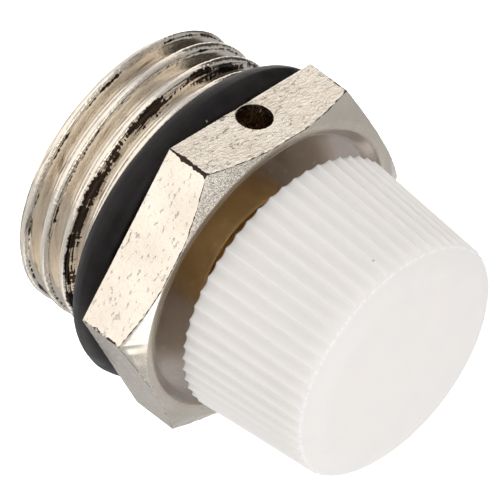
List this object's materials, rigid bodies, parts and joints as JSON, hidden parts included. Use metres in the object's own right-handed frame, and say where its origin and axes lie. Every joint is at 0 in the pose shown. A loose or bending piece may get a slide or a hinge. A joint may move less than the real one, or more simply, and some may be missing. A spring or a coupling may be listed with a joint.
{
  "type": "automatic air vent",
  "caption": "Hygroscopic radiator air vent: threaded hexagon body with seal ring and drain hole, ribbed hand knob, disc pack and check valve.",
  "frame": {"origin": "centre of the end face of the threaded inlet, which the part stands on", "axes": "+Z along the part's axis from the threaded inlet to the knob; -Y is the way the drain hole in the hexagon faces; +X to the right of someone facing the drain hole"},
  "size_m": [0.0266, 0.0242, 0.0267],
  "materials": {
    "nickel_plate": "nickel-plated brass, machined",
    "brass": "machined brass",
    "spring_steel": "stainless spring wire and sheet",
    "black_rubber": "satin black EPDM",
    "white_plastic": "moulded white",
    "fibre": "pressed cellulose fibre"
  },
  "bodies": {
    "body": {"valve_body": "nickel_plate", "flange_seal_ring": "black_rubber", "stem_seal_ring": "black_rubber", "spring_plate": "brass", "inlet_strainer": "spring_steel", "inlet_clip": "spring_steel", "check_spring": "spring_steel"},
    "poppet": {"check_poppet": "brass", "poppet_seal": "black_rubber"},
    "jumper": {"seat_jumper": "brass", "seat_washer": "black_rubber"},
    "knob": {"knob_cap": "white_plastic", "threaded_stem": "brass", "core_tube": "brass", "stem_plug": "brass", "knob_clip": "spring_steel", "pack_spring": "spring_steel", "fibre_disc_01": "fibre", "fibre_disc_02": "fibre", "fibre_disc_03": "fibre", "fibre_disc_04": "fibre", "fibre_disc_05": "fibre", "fibre_disc_06": "fibre", "fibre_disc_07": "fibre", "fibre_disc_08": "fibre", "fibre_disc_09": "fibre", "fibre_disc_10": "fibre", "fibre_disc_11": "fibre", "fibre_disc_12": "fibre"},
    "follower": {"pack_follower": "brass"}
  },
  "joints": [
    {"name": "knob_lift", "type": "slide", "parent": "body", "child": "jumper", "axis": [0, 0, 1], "range_m": [0, 0.00125]},
    {"name": "knob_turn", "type": "hinge", "parent": "jumper", "child": "knob", "pos_m": [0, 0, 0], "axis": [0, 0, 1], "range_deg": [0, 450]},
    {"name": "poppet_lift", "type": "slide", "parent": "body", "child": "poppet", "axis": [0, 0, 1], "range_m": [0, 0.00125], "deforming": ["check_spring"]},
    {"name": "pack_swell", "type": "slide", "parent": "knob", "child": "follower", "axis": [0, 0, 1], "range_m": [0, 0.0005], "stiffness_N_per_m": 800, "springref_m": -0.0002, "deforming": ["fibre_disc_01", "fibre_disc_02", "fibre_disc_03", "fibre_disc_04", "fibre_disc_05", "fibre_disc_06", "fibre_disc_07", "fibre_disc_08", "fibre_disc_09", "fibre_disc_10", "fibre_disc_11", "fibre_disc_12", "pack_spring"]}
  ],
  "couplings": [
    {"joint": "knob_lift", "follows": "knob_turn", "m_per_rad": 0.00015915},
    {"joint": "poppet_lift", "follows": "knob_turn", "m_per_rad": 0.00015915}
  ]
}
